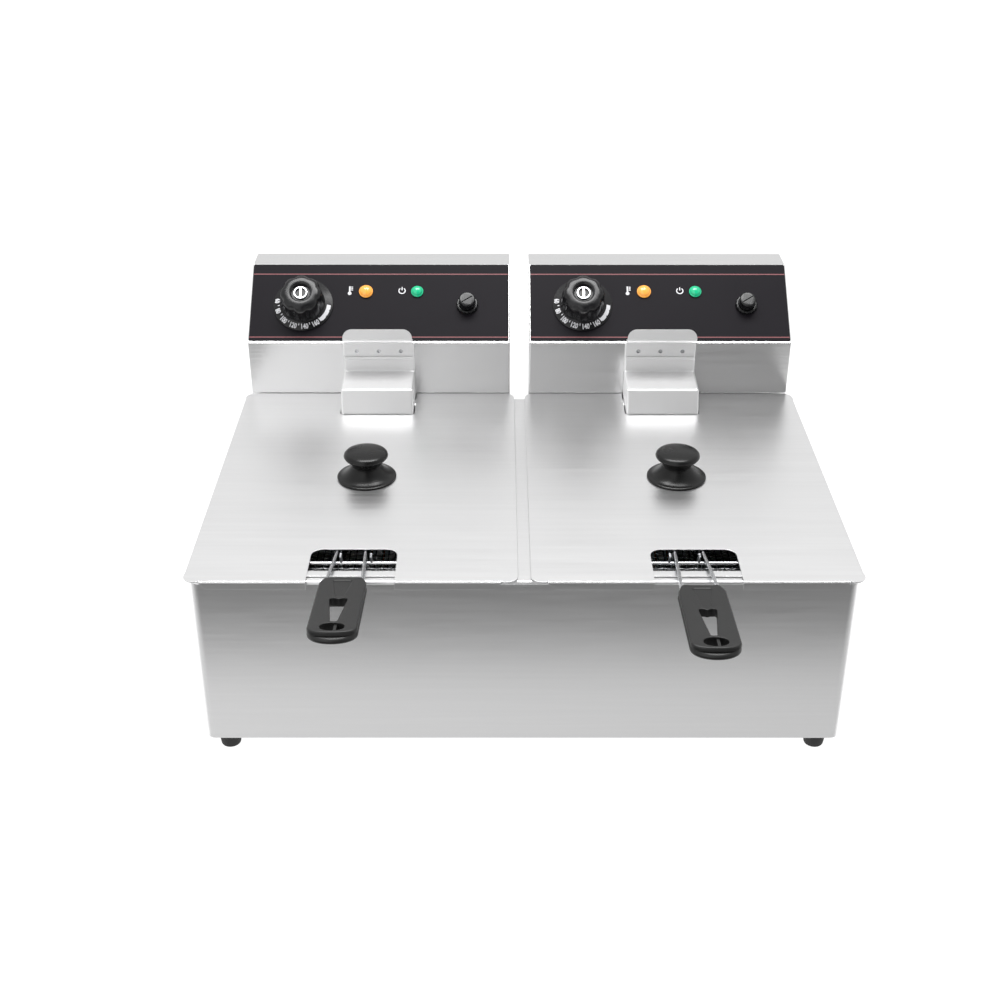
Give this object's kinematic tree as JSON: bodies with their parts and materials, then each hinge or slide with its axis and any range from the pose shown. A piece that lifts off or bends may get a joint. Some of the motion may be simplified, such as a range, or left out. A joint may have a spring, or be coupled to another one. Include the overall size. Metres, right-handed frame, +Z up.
{
  "type": "deep fryer",
  "caption": "Electric countertop deep fryer with side-by-side oil tanks, wire baskets, sheet lids and lift-off control heads with dial, lamps and reset button.",
  "frame": {"origin": "centre of the whole part's bounding box in plan, on the surface the feet stand on", "axes": "+X to the user's right, +Y to the back (the heads), +Z up; the basket grips point to -Y"},
  "size_m": [0.5516, 0.5872, 0.294],
  "materials": {
    "stainless": "fine brushed stainless sheet",
    "chrome_wire": "bright chrome-plated wire",
    "element_tube": "dull grey sheathed heating tube",
    "copper": "satin copper bulbs and capillaries",
    "ceramic": "off-white ceramic and moulded housings",
    "knob_plastic": "satin black moulded phenolic",
    "grip_plastic": "fine-grained black moulded plastic",
    "control_plastic": "semi-gloss black plastic",
    "panel_film": "satin dark charcoal printed film",
    "amber_lens": "clear amber lens",
    "green_lens": "clear green lens",
    "rubber": "matt black rubber"
  },
  "bodies": {
    "casing": {"outer_casing": "stainless", "bottom_plate": "stainless", "foot_front_left": "rubber", "foot_front_right": "rubber", "foot_rear_left": "rubber", "foot_rear_right": "rubber", "head_bracket_left": "stainless", "head_bracket_right": "stainless"},
    "tank_left": {"oil_tank_left": "stainless"},
    "head_left": {"head_shell_left": "stainless", "head_back_cover_left": "stainless", "element_shroud_left": "stainless", "basket_hanger_left": "stainless", "head_hook_left": "stainless", "heating_element_left": "element_tube", "sensor_bulbs_left": "copper", "terminal_block_left": "ceramic", "microswitch_left": "control_plastic", "cord_gland_left": "control_plastic", "panel_overlay_left": "panel_film", "thermostat_left": "ceramic", "limiter_left": "ceramic", "reset_nut_left": "control_plastic", "heating_lamp_left": "amber_lens", "power_lamp_left": "green_lens"},
    "basket_left": {"basket_left": "chrome_wire", "basket_rods_left": "chrome_wire", "basket_grip_left": "grip_plastic"},
    "lid_left": {"lid_left": "stainless", "lid_knob_left": "knob_plastic", "lid_knob_screw_left": "chrome_wire"},
    "dial_left": {"thermostat_dial_left": "control_plastic"},
    "reset_left": {"reset_button_left": "control_plastic"},
    "tank_right": {"oil_tank_right": "stainless"},
    "head_right": {"head_shell_right": "stainless", "head_back_cover_right": "stainless", "element_shroud_right": "stainless", "basket_hanger_right": "stainless", "head_hook_right": "stainless", "heating_element_right": "element_tube", "sensor_bulbs_right": "copper", "terminal_block_right": "ceramic", "microswitch_right": "control_plastic", "cord_gland_right": "control_plastic", "panel_overlay_right": "panel_film", "thermostat_right": "ceramic", "limiter_right": "ceramic", "reset_nut_right": "control_plastic", "heating_lamp_right": "amber_lens", "power_lamp_right": "green_lens"},
    "basket_right": {"basket_right": "chrome_wire", "basket_rods_right": "chrome_wire", "basket_grip_right": "grip_plastic"},
    "lid_right": {"lid_right": "stainless", "lid_knob_right": "knob_plastic", "lid_knob_screw_right": "chrome_wire"},
    "dial_right": {"thermostat_dial_right": "control_plastic"},
    "reset_right": {"reset_button_right": "control_plastic"}
  },
  "joints": [
    {"name": "tank_lift_left", "type": "slide", "parent": "casing", "child": "tank_left", "axis": [0, 0, 1], "range_m": [0, 0.16]},
    {"name": "head_lift_left", "type": "slide", "parent": "tank_left", "child": "head_left", "axis": [0, 0, 1], "range_m": [0, 0.15]},
    {"name": "basket_lift_left", "type": "slide", "parent": "head_left", "child": "basket_left", "axis": [0, 0, 1], "range_m": [0, 0.15]},
    {"name": "lid_lift_left", "type": "slide", "parent": "basket_left", "child": "lid_left", "axis": [0, 0, 1], "range_m": [0, 0.12]},
    {"name": "dial_turn_left", "type": "hinge", "parent": "head_left", "child": "dial_left", "pos_m": [-0.2175, 0.21823, 0.26819], "axis": [0, 0.6216, -0.7833], "range_deg": [0, 280]},
    {"name": "reset_press_left", "type": "slide", "parent": "head_left", "child": "reset_left", "axis": [0, 0.6216, -0.7833], "range_m": [0, 0.0025], "stiffness_N_per_m": 900, "springref_m": -0.001},
    {"name": "tank_lift_right", "type": "slide", "parent": "casing", "child": "tank_right", "axis": [0, 0, 1], "range_m": [0, 0.16]},
    {"name": "head_lift_right", "type": "slide", "parent": "tank_right", "child": "head_right", "axis": [0, 0, 1], "range_m": [0, 0.15]},
    {"name": "basket_lift_right", "type": "slide", "parent": "head_right", "child": "basket_right", "axis": [0, 0, 1], "range_m": [0, 0.15]},
    {"name": "lid_lift_right", "type": "slide", "parent": "basket_right", "child": "lid_right", "axis": [0, 0, 1], "range_m": [0, 0.12]},
    {"name": "dial_turn_right", "type": "hinge", "parent": "head_right", "child": "dial_right", "pos_m": [0.0635, 0.21823, 0.26819], "axis": [0, 0.6216, -0.7833], "range_deg": [0, 280]},
    {"name": "reset_press_right", "type": "slide", "parent": "head_right", "child": "reset_right", "axis": [0, 0.6216, -0.7833], "range_m": [0, 0.0025], "stiffness_N_per_m": 900, "springref_m": -0.001}
  ]
}
